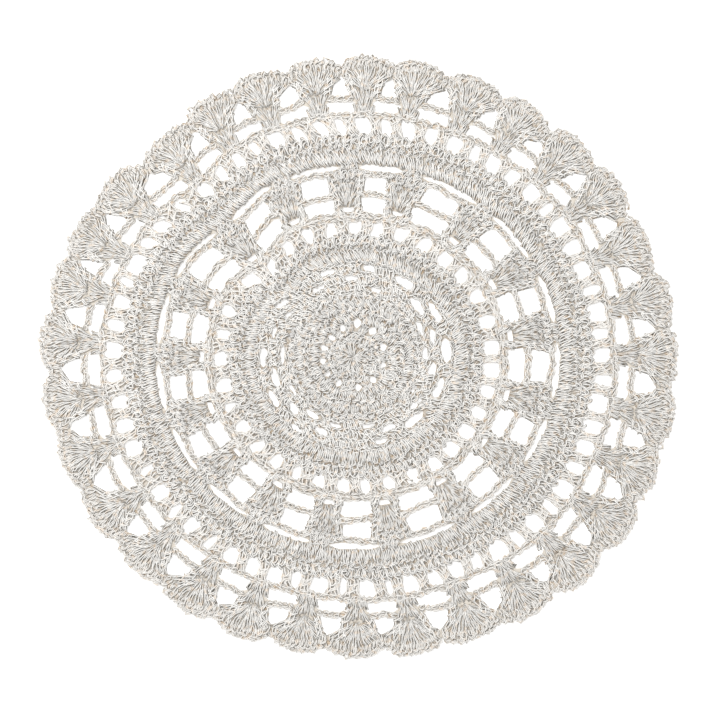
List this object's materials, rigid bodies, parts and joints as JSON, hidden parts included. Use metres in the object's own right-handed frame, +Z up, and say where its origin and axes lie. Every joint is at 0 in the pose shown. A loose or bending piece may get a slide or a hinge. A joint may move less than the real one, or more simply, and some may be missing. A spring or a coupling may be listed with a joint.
{
  "type": "crochet placemat",
  "caption": "Flat round crochet lace placemat with mesh rounds, inner fans joined by chain bars and a scalloped shell edge.",
  "frame": {"origin": "centre of the mat's outline, on the surface that it lies on", "axes": "+Z up out of the mat's face; seen from above, +X to the right and +Y to the top of the picture"},
  "size_m": [0.3808, 0.3604, 0.003],
  "materials": {
    "cotton_yarn": "matt plied natural cotton yarn"
  },
  "bodies": {
    "root": {"placemat": "cotton_yarn"}
  },
  "joints": []
}
